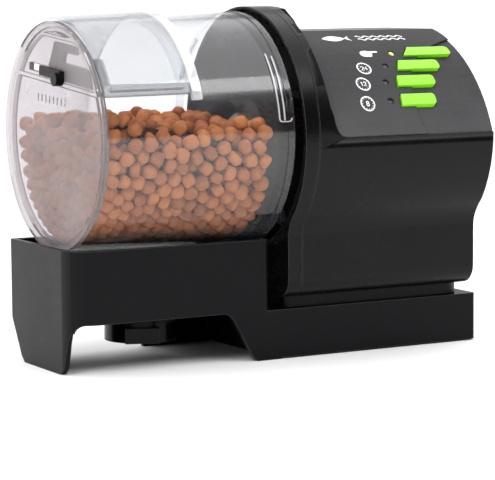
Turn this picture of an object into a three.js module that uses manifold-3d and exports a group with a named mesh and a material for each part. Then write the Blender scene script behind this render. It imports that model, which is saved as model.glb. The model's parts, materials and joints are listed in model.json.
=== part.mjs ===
// Automatic fish feeder: a clear food drum turned by a geared motor above a tray with a drop spout.
// Millimetres, +Z up. The origin is at the middle of the footprint, on the surface it stands on.
// X runs along the drum's axis from the dosing cap (-X) to the housing (+X). The front is -Y.
import * as THREE from 'three';
import { mergeVertices } from 'three/addons/utils/BufferGeometryUtils.js';
import { ConvexGeometry } from 'three/addons/geometries/ConvexGeometry.js';
import Module from 'manifold-3d';

const wasm = await Module();
wasm.setup();

// ---------------------------------------------------------------- driving dimensions
const AXIS_Z = 68.6;              // height of the drum's axis
const GAP = 0.3;                  // between fixed pieces
const RUN = 0.15;                 // running clearance of turning pieces
const SIDES = 64;                 // facets round the large circles

const BASE = { left: -70.2, right: 70.2, halfWidth: 22.6, wall: 1.8, roundCorner: 8, corner: 1.2 };
const DECK_Z = 15.1;              // top of the low base under the housing
const RIM_Z = 36.7;               // rim of the tray
const TRAY_RIGHT = -5.2;
const SPOUT = { x: -37.4, bore: 9, outer: 11, flange: 13.6, bottom: 6.4, top: 15.0 };

const DRUM = { left: -65.9, right: -3.9, leftRadius: 34, rightRadius: 36.2, wall: 1.5 };
const DRUM_TURN = THREE.MathUtils.degToRad(5.3);   // how far the drum is parked past upright
const CAP_FLANGE = 1.6;
const BACK_WALL = { left: -8.4, right: -6.9 };
const FILL = { x0: -61.5, x1: -39.5, from: -14, to: 57 };            // the opening, in degrees
const FILL_DOOR = { x0: -64, x1: -37.2, from: -22, to: 63, thick: 1.1 };

const BEZEL = { left: -1.15, right: 3.6, radius: 37.6, pocket: 36.7, pocketFloor: 1.2 };
const HOUSING = { left: 3.8, right: 66.1, wall: 2.2, boxHalf: 27.2, bottom: -49.8, top: 29.8 };
const SHOULDER = { y: 31.9, z: -22.3 };            // where the round body steps in to the box
const BEZEL_SCREWS = [[-20.5, -26], [20.5, -26], [-26, 8], [17, 26]];   // [y, z from the axis]
const NECK_SCREWS = [18, 50];     // X of the screws up through the base

const PANEL_AXIS = { y: 7.6, z: AXIS_Z - 17 };     // the panel is part of a cylinder about this line
const PANEL_TILT = THREE.MathUtils.degToRad(42);
const PANEL = { radius: 48.2, thick: 2.2, recess: 0.6, top: 22.8, bottom: -23 };
const BUTTON_TRAVEL = 0.6;
const STEM_LOW = 43.4;            // underside of the keys' stems, from the panel's axis
// Each key: its left and right ends, its height on the panel and its width. The left end leans.
const KEYS = [
  { name: 'feed', x0: 43.8, x1: 61.6, v: 6.7, width: 4, lean: 3.2 },
  { name: 'interval_24h', x0: 38.6, x1: 54.3, v: 0.3, width: 3.8, lean: 1.8 },
  { name: 'interval_12h', x0: 35.9, x1: 49.8, v: -6.1, width: 3.7, lean: 1 },
  { name: 'interval_8h', x0: 34.9, x1: 47.5, v: -12.9, width: 3.6, lean: 0.6 },
];
const LAMPS = [[40.5, 6.5], [35.3, 0.6], [32.5, -6], [31.6, -12.7]];
const BOARD = { x0: 23.6, x1: 63.2, v0: -16.5, v1: 12.5, low: 38.6, high: 40.2 };
const BOARD_SCREWS = [[26.6, 8.5], [26.6, -13]];

const MODULE = 0.6;               // of the gear teeth
const TEETH = { output: 50, gear: 40, pinion: 10 };
const LAYER = { output: [6, 9.5], second: [10, 13], first: [14, 17] };
const PLATE = { left: 19, right: 20.5, radius: 26 };
const PILLARS = [[-23, -9], [0, -23.2], [-8, 20]];   // [y, z from the axis]

const CELL = { radius: 7.1, length: 50.2, z: AXIS_Z - 38.9, inner: 2.4, outer: 17.2 };
const BAY = {
  left: 5.5, right: 63.6, back: -6.2, front: 24.4, low: AXIS_Z - 47.3, high: AXIS_Z - 30.4, wall: 1.2,
};
const DOOR = { left: 5, right: 66.1, low: AXIS_Z - 47.3, high: AXIS_Z - 30.9, thick: 1.3 };

// ---------------------------------------------------------------- solids and booleans
function solid(geometry) {
  const bare = geometry.clone();
  for (const name of Object.keys(bare.attributes)) {
    if (name !== 'position') bare.deleteAttribute(name);
  }
  const merged = mergeVertices(bare, 1e-4);
  const triangles = [];
  for (let i = 0; i < merged.index.count; i += 3) {
    const [a, b, c] = [0, 1, 2].map((k) => merged.index.getX(i + k));
    if (a !== b && b !== c && c !== a) triangles.push(a, b, c);
  }
  return new wasm.Manifold(new wasm.Mesh({
    numProp: 3,
    vertProperties: Float32Array.from(merged.attributes.position.array),
    triVerts: Uint32Array.from(triangles),
  }));
}

function geometryOf(body) {
  const mesh = body.getMesh();
  const geometry = new THREE.BufferGeometry();
  geometry.setAttribute('position', new THREE.BufferAttribute(Float32Array.from(mesh.vertProperties), 3));
  geometry.setIndex(new THREE.BufferAttribute(Uint32Array.from(mesh.triVerts), 1));
  geometry.computeVertexNormals();
  return geometry;
}

const join = (first, ...others) => others.reduce((sum, other) => sum.add(other), first);
const cut = (first, ...others) => others.reduce((rest, other) => rest.subtract(other), first);

// ---------------------------------------------------------------- simple bodies
function box(x0, x1, y0, y1, z0, z1) {
  const geometry = new THREE.BoxGeometry(x1 - x0, y1 - y0, z1 - z0);
  return solid(geometry.translate((x0 + x1) / 2, (y0 + y1) / 2, (z0 + z1) / 2));
}

function extrude(shape, depth, segments = 12) {
  return new THREE.ExtrudeGeometry(shape, { depth, curveSegments: segments, bevelEnabled: false });
}

const ALONG_X = new THREE.Matrix4().makeBasis(
  new THREE.Vector3(0, 1, 0), new THREE.Vector3(0, 0, 1), new THREE.Vector3(1, 0, 0));
const ALONG_Y = new THREE.Matrix4().makeBasis(
  new THREE.Vector3(1, 0, 0), new THREE.Vector3(0, 0, 1), new THREE.Vector3(0, -1, 0));

// A shape drawn in (y, z) and extruded from x0 to x1.
function prismX(shape, x0, x1, segments) {
  return solid(extrude(shape, x1 - x0, segments).applyMatrix4(ALONG_X).translate(x0, 0, 0));
}

// A shape drawn in (x, z) and extruded from y0 to y1.
function prismY(shape, y0, y1, segments) {
  return solid(extrude(shape, y1 - y0, segments).applyMatrix4(ALONG_Y).translate(0, y1, 0));
}

// A shape drawn in (x, y) and extruded from z0 to z1.
function prismZ(shape, z0, z1, segments) {
  return solid(extrude(shape, z1 - z0, segments).translate(0, 0, z0));
}

// A profile of [x, radius] points turned about the X axis. Its points go round the outside.
function turnedX(profile, sides = SIDES) {
  const points = profile.map(([x, radius]) => new THREE.Vector2(radius, x));
  return solid(new THREE.LatheGeometry(points, sides).rotateZ(-Math.PI / 2));
}

// A profile of [radius, z] points turned about the Z axis.
function turnedZ(profile, sides = 48) {
  const points = profile.map(([radius, z]) => new THREE.Vector2(radius, z));
  return solid(new THREE.LatheGeometry(points, sides).rotateX(Math.PI / 2));
}

function rodX(radius, x0, x1, y = 0, z = 0, sides = 20) {
  return turnedX([[x0, 0], [x0, radius], [x1, radius], [x1, 0]], sides).translate([0, y, z]);
}

function rodZ(radius, z0, z1, x = 0, y = 0, sides = 20) {
  return turnedZ([[0, z0], [radius, z0], [radius, z1], [0, z1]], sides).translate([x, y, 0]);
}

function polygon(points) {
  return new THREE.Shape(points.map(([x, y]) => new THREE.Vector2(x, y)));
}

// Points along an arc, for an outline drawn as a polygon.
function arc(cx, cy, radius, from, to, steps = 6) {
  return Array.from({ length: steps + 1 }, (_, i) => {
    const angle = from + (to - from) * (i / steps);
    return [cx + radius * Math.cos(angle), cy + radius * Math.sin(angle)];
  });
}

const QUARTER = Math.PI / 2;

// The left corners share one radius and the right corners another, unless the last is given too.
function roundedRectangle(x0, x1, y0, y1, left, right = left, upperLeft = left) {
  return polygon([
    ...arc(x0 + left, y0 + left, left, 2 * QUARTER, 3 * QUARTER),
    ...arc(x1 - right, y0 + right, right, -QUARTER, 0),
    ...arc(x1 - right, y1 - right, right, 0, QUARTER),
    ...arc(x0 + upperLeft, y1 - upperLeft, upperLeft, QUARTER, 2 * QUARTER),
  ]);
}

// ---------------------------------------------------------------- materials and the scene graph
const FINISH = {
  blackCase: { color: 0x1d1d20, roughness: 0.5, metalness: 0 },
  blackBase: { color: 0x1a1a1d, roughness: 0.5, metalness: 0 },
  panel: { color: 0x3a3a3c, roughness: 0.45, metalness: 0 },
  green: { color: 0x7fe01c, roughness: 0.35, metalness: 0 },
  clear: { color: 0xdfe4ea, roughness: 0.1, metalness: 0, transparent: true, opacity: 0.35 },
  milky: { color: 0xe6e4e6, roughness: 0.35, metalness: 0, transparent: true, opacity: 0.6 },
  grey: { color: 0x77777c, roughness: 0.5, metalness: 0 },
  black: { color: 0x0c0c0d, roughness: 0.3, metalness: 0 },
  food: { color: 0xb9744a, roughness: 0.8, metalness: 0 },
  rubber: { color: 0x202020, roughness: 0.9, metalness: 0 },
  nylon: { color: 0xe8e6dd, roughness: 0.4, metalness: 0 },
  steel: { color: 0xa9adb2, roughness: 0.3, metalness: 1 },
  brass: { color: 0xc9a24a, roughness: 0.3, metalness: 1 },
  board: { color: 0x1f6b3a, roughness: 0.5, metalness: 0 },
  cell: { color: 0xb5762c, roughness: 0.35, metalness: 0.6 },
  ledOff: { color: 0x2b2d24, roughness: 0.2, metalness: 0 },
  ledOn: { color: 0xc8e05a, roughness: 0.2, metalness: 0 },
};

const feeder = new THREE.Group();
const drum = new THREE.Group();
drum.position.z = AXIS_Z;
drum.rotation.x = DRUM_TURN;
const panel = new THREE.Group();
panel.position.set(0, PANEL_AXIS.y, PANEL_AXIS.z);
panel.rotation.x = PANEL_TILT;
const drive = new THREE.Group();
drive.position.z = AXIS_Z;
feeder.add(drum, panel, drive);

function place(group, name, finish, body) {
  const mesh = new THREE.Mesh(geometryOf(body), new THREE.MeshStandardMaterial(FINISH[finish]));
  mesh.name = name;
  group.add(mesh);
  return body;
}

const toFeeder = (body, group) => {
  group.updateMatrix();
  return body.transform(group.matrix.elements);
};

// ---------------------------------------------------------------- base and tray
function baseShell() {
  const { left, right, halfWidth: half, wall, roundCorner, corner } = BASE;
  const plan = (x0, x1, inset) => {
    const small = Math.max(corner - inset, 0.3);
    return roundedRectangle(
      x0 + inset, x1 - inset, -half + inset, half - inset, roundCorner - inset, small, small);
  };
  const trayBody = prismZ(plan(left, TRAY_RIGHT, 0), 0, RIM_Z);
  const lowBody = prismZ(plan(left, right, 0), 0, DECK_Z);
  const underside = prismZ(plan(left, right, wall), -1, DECK_Z - wall);
  const trayFloorZ = 20.5;
  const trayHollow = prismZ(plan(left, TRAY_RIGHT, wall), trayFloorZ, RIM_Z + 1);
  const funnelTop = [-1, 1].flatMap((sx) => [-1, 1].map((sy) => new THREE.Vector3(
    (left + TRAY_RIGHT) / 2 + sx * ((TRAY_RIGHT - left) / 2 - 5), sy * (half - 4.5), trayFloorZ + 1)));
  const funnelMouth = Array.from({ length: 32 }, (_, i) => {
    const angle = (i / 32) * 2 * Math.PI;
    return new THREE.Vector3(SPOUT.x + 9.5 * Math.cos(angle), 9.5 * Math.sin(angle), 16.8);
  });
  const funnel = solid(new ConvexGeometry([...funnelTop, ...funnelMouth]));
  const spoutHole = rodZ(10.4, DECK_Z - wall - 1, 17.5, SPOUT.x, 0, 48);

  // the floor of the tray is solid down to the deck's height
  const trayFloor = prismZ(plan(left, TRAY_RIGHT, 0.2), DECK_Z, trayFloorZ);
  const underTray = prismZ(plan(left, TRAY_RIGHT, wall), -1, DECK_Z);
  const crossWall = box(-2.9, -1.1, -half + 0.5, half - 0.5, 0.4, DECK_Z - 0.5);

  // the cut-out that bridges the tank's rim, higher at the front right
  const fillet = 2.6;
  const frontCut = new THREE.Shape();
  frontCut.moveTo(left + wall, -1);
  frontCut.lineTo(left + wall, DECK_Z - fillet);
  frontCut.absarc(left + wall + fillet, DECK_Z - fillet, fillet, Math.PI, QUARTER, true);
  frontCut.lineTo(-21, DECK_Z);
  frontCut.quadraticCurveTo(-18.8, DECK_Z, -17.6, DECK_Z - 1.8);
  frontCut.lineTo(-11.9, 3.2);
  frontCut.quadraticCurveTo(-10.4, 0.6, -8.2, -1);
  const rearCut = new THREE.Shape();
  rearCut.moveTo(left + wall, -1);
  rearCut.lineTo(left + wall, DECK_Z - fillet);
  rearCut.absarc(left + wall + fillet, DECK_Z - fillet, fillet, Math.PI, QUARTER, true);
  rearCut.lineTo(-26, DECK_Z);
  rearCut.lineTo(-26, -1);

  // the left end panel narrows to a foot, more steeply at the front
  const rearTaper = prismX(polygon([
    [22.9, DECK_Z - 0.1], [40, DECK_Z - 0.1], [40, -1], [11.4, -1], [13.2, 0.4], [15, 1.9],
  ]), left - 1, left + wall + 0.5);
  const frontTaper = prismX(polygon([
    [-11.4, -1], [-40, -1], [-40, DECK_Z], [-20.6, DECK_Z], [-18.6, 12.6], [-17.4, 9.6],
    [-15.6, 2.2], [-13.8, 0.5],
  ]), left - 1, left + wall + 0.01);

  const bosses = [];
  for (const x of [5, 62]) {
    for (const y of [-15, 15]) bosses.push(rodZ(4.4, 1.1, DECK_Z - 0.5, x, y));
  }
  let shell = cut(join(trayBody, lowBody), underside, trayHollow);
  shell = cut(join(shell, trayFloor), underTray);
  shell = cut(shell, funnel, spoutHole);
  shell = join(shell, crossWall, ...bosses);
  shell = cut(
    shell,
    prismY(frontCut, -half - 1, 0.01, 4),
    prismY(rearCut, 0, half + 1, 4),
    rearTaper, frontTaper,
    box(-1, right + 1, -half - 1, half + 1, -1, 0.4),
    rodX(DRUM.rightRadius + 1, DRUM.left, 1, 0, AXIS_Z, SIDES),
  );
  for (const x of NECK_SCREWS) shell = cut(shell, rodZ(1.75, 10, DECK_Z + 1, x, 0));
  return shell;
}

function dropSpout() {
  const { bore, outer, flange, bottom, top } = SPOUT;
  const fillet = Array.from({ length: 5 }, (_, i) => {
    const angle = (i / 4) * (Math.PI / 2);
    return [flange - (flange - outer) * Math.sin(angle), top - 3 * (1 - Math.cos(angle)) - 0.6];
  });
  const ring = turnedZ([
    [bore, bottom], [outer, bottom], ...fillet.reverse(), [flange, top], [10.1, top], [10.1, 16.7],
    [bore, 16.7], [bore, bottom],
  ], 32);
  const pad = box(-5.2, 5.2, -outer - 0.7, -outer + 1.2, bottom, bottom + 4.7);
  const facing = THREE.MathUtils.radToDeg(Math.atan2(-11, 25));
  return join(ring, pad.rotate([0, 0, facing])).translate([SPOUT.x, 0, 0]);
}

function footPads() {
  let count = 0;
  for (const x of [5, 62]) {
    for (const y of [-15, 15]) {
      count += 1;
      place(feeder, `foot_pad_${count}`, 'rubber', rodZ(4, 0, 1.05, x, y));
    }
  }
}

function neck() {
  const plan = roundedRectangle(1, 66.6, -21, 21, 3, 7);
  let block = prismZ(plan, DECK_Z + 0.05, AXIS_Z + HOUSING.bottom - 0.05);
  for (const x of NECK_SCREWS) block = cut(block, rodZ(1.6, DECK_Z - 1, 18.2, x, 0));
  return block;
}

function screw(headRadius, shankRadius, headHeight, length) {
  const slot = box(-headRadius, headRadius, -0.35, 0.35, -1, 0.5);
  return cut(turnedZ([
    [0, 0], [headRadius * 0.8, 0], [headRadius, headHeight * 0.5], [headRadius, headHeight],
    [shankRadius, headHeight], [shankRadius, length], [0, length],
  ], 12), slot);
}

// ---------------------------------------------------------------- housing
function housingOutline(inset) {
  const radius = BEZEL.radius - inset;
  const half = HOUSING.boxHalf - inset;
  const bottom = HOUSING.bottom + inset;
  const front = 6 - inset * 0.6;
  const rear = Math.max(2 - inset * 0.3, 1);
  const shoulder = Math.atan2(SHOULDER.z, SHOULDER.y);
  const swell = Math.hypot(SHOULDER.y, SHOULDER.z) - BEZEL.radius;
  // the body is round above the axis and swells a little towards the shoulders
  const side = (angle) => {
    const below = Math.min(Math.max((0.15 - angle) / (0.15 - shoulder), 0), 1);
    const r = radius + swell * below;
    return [r * Math.cos(angle), r * Math.sin(angle)];
  };
  const rightSide = arc(0, 0, 1, shoulder, QUARTER, 22).map(([c, s]) => side(Math.atan2(s, c)));
  const leftSide = rightSide.slice(0, -1).reverse().map(([y, z]) => [-y, z]);
  const [shoulderY, shoulderZ] = side(shoulder);
  const waist = (way) => new THREE.QuadraticBezierCurve(
    new THREE.Vector2(way * half, -31), new THREE.Vector2(way * half, -27.2),
    new THREE.Vector2(way * shoulderY, shoulderZ),
  ).getPoints(5).map(({ x, y }) => [x, y]);
  return polygon([
    ...arc(-half + front, bottom + front, front, 2 * QUARTER, 3 * QUARTER),
    ...arc(half - rear, bottom + rear, rear, -QUARTER, 0, 3),
    ...waist(1),
    ...rightSide.slice(1),
    ...leftSide.slice(0, -1),
    ...waist(-1).reverse(),
  ]);
}

const housingBody = (inset, x0, x1) => prismX(housingOutline(inset), x0, x1).translate([0, 0, AXIS_Z]);

function frontBezel() {
  const { left, right, pocket, pocketFloor } = BEZEL;
  const hollow = rodX(pocket, left - 1, pocketFloor, 0, AXIS_Z, SIDES);
  const lower = prismX(roundedRectangle(-25, 25, -47.6, -28, 3), pocketFloor, right + 1)
    .translate([0, 0, AXIS_Z]);
  const lowerBack = cut(lower, rodX(pocket + 1.5, left, right + 2, 0, AXIS_Z, SIDES));
  const bearing = rodX(8, pocketFloor - 1, right + 1, 0, AXIS_Z, 36);
  let body = cut(housingBody(0, left, right), hollow, lowerBack, bearing);
  for (const [y, z] of BEZEL_SCREWS) body = cut(body, rodX(1.5, 0, right + 1, y, AXIS_Z + z));
  for (const { y, z } of IDLERS) body = cut(body, rodX(1.3, 2.2, right + 1, y, AXIS_Z + z));
  return body;
}

function panelOutline(grow = 0) {
  const shape = new THREE.Shape();
  shape.moveTo(9.4 - grow, PANEL.top + grow);
  shape.quadraticCurveTo(12 - grow, 3, 9 - grow, -16.5);
  shape.quadraticCurveTo(9 - grow, PANEL.bottom - grow, 13.5, PANEL.bottom - grow);
  shape.lineTo(HOUSING.right + grow, PANEL.bottom - grow);
  shape.lineTo(HOUSING.right + grow, PANEL.top + grow);
  return shape;
}

// The lower right zone of the panel, which lies a little deeper than the rest.
function deepZoneOutline() {
  const shape = new THREE.Shape();
  shape.moveTo(HOUSING.right + 1, 14.3);
  shape.lineTo(HOUSING.right, 13.9);
  shape.quadraticCurveTo(40.2, 4.5, 40, -15);
  shape.quadraticCurveTo(40.2, -20.5, 42.5, PANEL.bottom - 1);
  shape.lineTo(HOUSING.right + 1, PANEL.bottom - 1);
  return shape;
}

const panelCylinder = (radius) => rodX(radius, -10, 90, 0, 0, 90);

// A shape drawn on the panel, carried out through its surface.
const outwards = (shape, segments) => solid(extrude(shape, 30, segments).translate(0, 0, 30));

// What is cut away above the panel's surface: its left wall slopes back to the round collar.
function panelScoop() {
  const slopeStart = 46;
  const slope = { rise: 9, run: 4 };
  const straight = outwards(panelOutline(0.3), 10);
  const flared = new THREE.ExtrudeGeometry(panelOutline(0), {
    depth: 12,
    curveSegments: 10,
    bevelEnabled: true,
    bevelThickness: slope.rise,
    bevelSize: slope.run,
    bevelSegments: 1,
  }).translate(0, 0, slopeStart + slope.rise);
  return cut(join(straight, solid(flared)), panelCylinder(PANEL.radius));
}

function housingShell() {
  const { left, right, wall, top } = HOUSING;
  const flatTop = prismY(polygon([
    [7.4, AXIS_Z + 38.5], [17.2, AXIS_Z + top], [right + 1, AXIS_Z + top], [right + 1, AXIS_Z + 38.5],
  ]), -8, 40);
  const outer = cut(housingBody(0, left, right), flatTop, toFeeder(panelScoop(), panel));

  const seatDepth = PANEL.radius - PANEL.thick - 0.2;
  const seat = cut(outwards(panelOutline(0.25), 10), panelCylinder(seatDepth));
  const collarRoom = housingBody(wall, left - 1, 6.4);
  const mainRoom = housingBody(wall, left - 1, right - wall)
    .intersect(toFeeder(panelCylinder(seatDepth - 1.8), panel))
    .intersect(box(0, 80, -50, 50, 0, AXIS_Z + top - wall));

  const buttonWindow = outwards(roundedRectangle(30, 62.6, -16.2, 9.7, 1.5));
  const bosses = BOARD_SCREWS.map(([x, v]) => rodZ(2.2, BOARD.high + 0.1, 46, x, v)
    .intersect(panelCylinder(seatDepth)));
  const bossHoles = BOARD_SCREWS.map(([x, v]) => rodZ(0.95, BOARD.high - 1, 43.4, x, v));
  const caseBosses = BEZEL_SCREWS.map(([y, z]) => rodX(3, left, 12, y, AXIS_Z + z));
  const caseHoles = BEZEL_SCREWS.map(([y, z]) => rodX(1.4, left - 1, 11, y, AXIS_Z + z));
  const doorSeat = box(DOOR.left - GAP, right + 1, 25.6, 30, DOOR.low - GAP, DOOR.high + GAP);
  const window = box(6.2, 62.9, 24.6, 30, AXIS_Z - 46.2, AXIS_Z - 31.6);

  let shell = cut(outer, toFeeder(seat, panel), collarRoom, mainRoom);
  const webs = [-25, 25].map((y) => box(
    left, 12, y - 4, y + 4, AXIS_Z - 27.2, AXIS_Z - 24.8));
  const ribs = [...caseBosses, ...webs].map((boss) => boss.intersect(housingBody(0.5, left, 12)));
  shell = join(shell, ...ribs, ...bosses.map((boss) => toFeeder(boss, panel)));
  shell = cut(shell, ...caseHoles, ...bossHoles.map((hole) => toFeeder(hole, panel)));
  return cut(shell, toFeeder(buttonWindow, panel), doorSeat, window);
}

// ---------------------------------------------------------------- control panel
function keyOutline({ x0, x1, v, width, lean }, grow = 0) {
  const low = v - width / 2 - grow;
  const high = v + width / 2 + grow;
  const end = x1 + grow;
  const round = 1.2 + grow;
  const shape = new THREE.Shape();
  shape.moveTo(x0 - grow, low);
  shape.lineTo(end - round, low);
  shape.absarc(end - round, low + round, round, -Math.PI / 2, 0);
  shape.lineTo(end, high - round);
  shape.absarc(end - round, high - round, round, 0, Math.PI / 2);
  shape.lineTo(x0 + lean - grow, high);
  return shape;
}

function controlPanel() {
  const skin = cut(panelCylinder(PANEL.radius), panelCylinder(PANEL.radius - PANEL.thick));
  const deep = cut(outwards(deepZoneOutline()), panelCylinder(PANEL.radius - PANEL.recess));
  let plate = outwards(panelOutline(0), 10).intersect(skin);
  plate = cut(plate, deep);
  for (const spec of KEYS) plate = cut(plate, outwards(keyOutline(spec, 0.25), 4));
  for (const [x, v] of LAMPS) plate = cut(plate, rodZ(1.05, 30, 60, x, v, 12));
  return plate;
}

function key(spec) {
  const cap = outwards(keyOutline(spec), 4);
  const reach = Math.abs(spec.v) + spec.width / 2;
  const underPanel = Math.sqrt((PANEL.radius - PANEL.thick) ** 2 - reach ** 2) - 0.6;
  const bottom = Math.max(underPanel, STEM_LOW);
  const crown = cut(cap.intersect(panelCylinder(PANEL.radius + 0.7)), box(0, 90, -40, 40, 0, bottom));
  const middle = (spec.x0 + spec.x1) / 2;
  if (bottom - STEM_LOW < 0.1) return crown;
  return join(crown, box(middle - 3, middle + 3, spec.v - 1.2, spec.v + 1.2, STEM_LOW, bottom + 0.5));
}

function circuitBoard() {
  const board = box(BOARD.x0, BOARD.x1, BOARD.v0, BOARD.v1, BOARD.low, BOARD.high);
  return cut(board, ...BOARD_SCREWS.map(([x, v]) => rodZ(1.2, 30, 50, x, v)));
}

function controls() {
  place(panel, 'control_panel', 'panel', controlPanel());
  place(panel, 'circuit_board', 'board', circuitBoard());
  KEYS.forEach((spec, i) => {
    place(panel, `${spec.name}_button`, 'green', key(spec));
    const middle = (spec.x0 + spec.x1) / 2;
    const switchBody = box(
      middle - 3, middle + 3, spec.v - 2.6, spec.v + 2.6, BOARD.high + 0.05, 42);
    const plunger = rodZ(1.3, 41.9, STEM_LOW - BUTTON_TRAVEL - 0.2, middle, spec.v);
    place(panel, `${spec.name}_switch`, 'black', join(switchBody, plunger));
    const [x, v] = LAMPS[i];
    const tip = Math.sqrt(PANEL.radius ** 2 - v ** 2) - 0.35;
    const lamp = join(rodZ(1.3, BOARD.high + 0.05, 41.8, x, v, 12), rodZ(0.8, 41.7, tip, x, v, 12));
    place(panel, `${spec.name}_lamp`, i === 0 ? 'ledOn' : 'ledOff', lamp);
  });
  BOARD_SCREWS.forEach(([x, v], i) => {
    const fastener = screw(1.9, 0.8, 1.2, 5.6).translate([x, v, BOARD.low - 1.25]);
    place(panel, `board_screw_${i + 1}`, 'steel', fastener);
  });
}

// ---------------------------------------------------------------- gear train
// Seen along X, the train goes round the drive shaft: output gear, second idler, first idler, motor.
const pitchRadius = (teeth) => teeth * MODULE / 2;
const SHAFT_STEP = pitchRadius(TEETH.gear) + pitchRadius(TEETH.pinion);
const OUTPUT_STEP = pitchRadius(TEETH.output) + pitchRadius(TEETH.pinion);
const RING = 20;                  // distance of the first idler and the motor from the drive shaft

const apexAngle = (a, b, opposite) => Math.acos((a * a + b * b - opposite * opposite) / (2 * a * b));
const around = (distance, angle) => ({
  y: distance * Math.cos(angle), z: distance * Math.sin(angle), angle,
});
const SECOND = around(OUTPUT_STEP, THREE.MathUtils.degToRad(-27));
const FIRST = around(RING, SECOND.angle + apexAngle(OUTPUT_STEP, RING, SHAFT_STEP));
const MOTOR = around(RING, FIRST.angle + apexAngle(RING, RING, SHAFT_STEP));
const IDLERS = [FIRST, SECOND];

// Involute teeth with backlash. One tooth points along the given angle.
function gearShape(teeth, toothAngle) {
  const pitch = pitchRadius(teeth);
  const base = pitch * Math.cos(THREE.MathUtils.degToRad(20));
  const involute = (radius) => {
    const pressure = Math.acos(Math.min(1, base / radius));
    return Math.tan(pressure) - pressure;
  };
  const halfAtPitch = 0.8 * Math.PI / (2 * teeth);
  const root = pitch - 1.1 * MODULE;
  const tip = pitch + 0.75 * MODULE;
  const radii = teeth > 20 ? [root, tip] : [root, pitch, tip];
  const half = (radius) => halfAtPitch + involute(pitch) - involute(radius);
  const points = [];
  for (let i = 0; i < teeth; i += 1) {
    const middle = toothAngle + (i / teeth) * 2 * Math.PI;
    const flank = radii.map((radius) => [radius, half(radius)]);
    for (const [radius, spread] of flank) points.push([radius, middle - spread]);
    for (const [radius, spread] of flank.reverse()) points.push([radius, middle + spread]);
  }
  return polygon(points.map(([radius, angle]) => [radius * Math.cos(angle), radius * Math.sin(angle)]));
}

const gear = (teeth, angle, [x0, x1], { y, z }) => prismX(gearShape(teeth, angle), x0, x1)
  .translate([0, y, z]);
const direction = (from, to) => Math.atan2(to.z - from.z, to.y - from.y);
const CENTRE = { y: 0, z: 0 };

function driveTrain() {
  const halfTooth = (teeth) => Math.PI / teeth;
  const axleRadius = 1;
  const bore = axleRadius + RUN + 0.05;

  // output gear and second idler: the gear's tooth meets the pinion's gap
  const outAngle = direction(CENTRE, SECOND);
  const output = cut(gear(TEETH.output, outAngle, LAYER.output, CENTRE), rodX(5.2, 0, 30, 0, 0, 36));
  const secondPinion = gear(TEETH.pinion, outAngle + Math.PI + halfTooth(TEETH.pinion),
    [LAYER.output[0] - 0.1, LAYER.second[0] + 0.2], SECOND);
  const towardsFirst = direction(SECOND, FIRST);
  const secondGear = gear(TEETH.gear, towardsFirst, LAYER.second, SECOND);
  const firstPinion = gear(TEETH.pinion, towardsFirst + Math.PI + halfTooth(TEETH.pinion),
    [LAYER.second[0] - 0.1, LAYER.first[0] + 0.2], FIRST);
  const towardsMotor = direction(FIRST, MOTOR);
  const firstGear = gear(TEETH.gear, towardsMotor, LAYER.first, FIRST);
  const motorPinion = gear(TEETH.pinion, towardsMotor + Math.PI + halfTooth(TEETH.pinion),
    [LAYER.first[0] - 0.1, LAYER.first[1] + 0.1], MOTOR);

  place(drive, 'output_gear', 'nylon', output);
  place(drive, 'second_idler_gear', 'nylon',
    cut(join(secondPinion, secondGear), rodX(bore, 0, 30, SECOND.y, SECOND.z)));
  place(drive, 'first_idler_gear', 'nylon',
    cut(join(firstPinion, firstGear), rodX(bore, 0, 30, FIRST.y, FIRST.z)));
  place(drive, 'motor_pinion', 'brass', cut(motorPinion, rodX(1.2, 0, 30, MOTOR.y, MOTOR.z)));
  place(drive, 'motor_shaft', 'steel', rodX(1, 13.4, 20.4, MOTOR.y, MOTOR.z));
  IDLERS.forEach(({ y, z }, i) => {
    const name = ['first_idler_axle', 'second_idler_axle'][i];
    place(drive, name, 'steel', rodX(axleRadius, 2.5, PLATE.right - 0.3, y, z));
  });
}

function gearPlate() {
  const { left, right, radius } = PLATE;
  let plate = rodX(radius, left, right, 0, 0, 40)
    .intersect(rodX(PANEL.radius - 4.8, 0, 30, PANEL_AXIS.y, PANEL_AXIS.z - AXIS_Z, 90));
  for (const [y, z] of PILLARS) plate = join(plate, rodX(2.3, BEZEL.right + 0.1, right, y, z, 16));
  const holes = IDLERS.map(({ y, z }) => rodX(1.25, left - 1, right + 1, y, z, 16));
  const shaftHole = rodX(3.2, left - 1, right + 1, 0, 0, 36);
  const motorHole = rodX(3.4, left - 1, right + 1, MOTOR.y, MOTOR.z);
  return cut(plate, ...holes, shaftHole, motorHole);
}

function motorBody() {
  const left = PLATE.right + 0.1;
  const can = rodX(10, left, left + 22, MOTOR.y, MOTOR.z, 40)
    .intersect(box(0, 60, -30, 40, MOTOR.z - 7.55, MOTOR.z + 7.55));
  const endCap = rodX(9, left + 21.5, left + 25, MOTOR.y, MOTOR.z, 40)
    .intersect(box(0, 60, -30, 40, MOTOR.z - 7, MOTOR.z + 7));
  return cut(join(can, endCap), rodX(1.4, left - 1, left + 2, MOTOR.y, MOTOR.z));
}

const hexagonX = (radius, length, middle) => solid(
  new THREE.CylinderGeometry(radius, radius, length, 6).rotateZ(-QUARTER).translate(middle, 0, 0));

function driveShaft() {
  const hexEnd = hexagonX(5.1, 5.2, -1.4);
  const end = PLATE.right + 0.8;
  const journal = turnedX([[1, 0], [1, 5], [17.8, 5], [17.8, 3], [end, 3], [end, 0]], 36);
  return join(hexEnd, journal);
}

function shaftBush() {
  return turnedX([
    [1.6, 5.15], [1.6, 7.75], [3.65, 7.75], [3.65, 9.6], [5.2, 9.6], [5.2, 5.15], [1.6, 5.15],
  ], 32);
}

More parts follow.
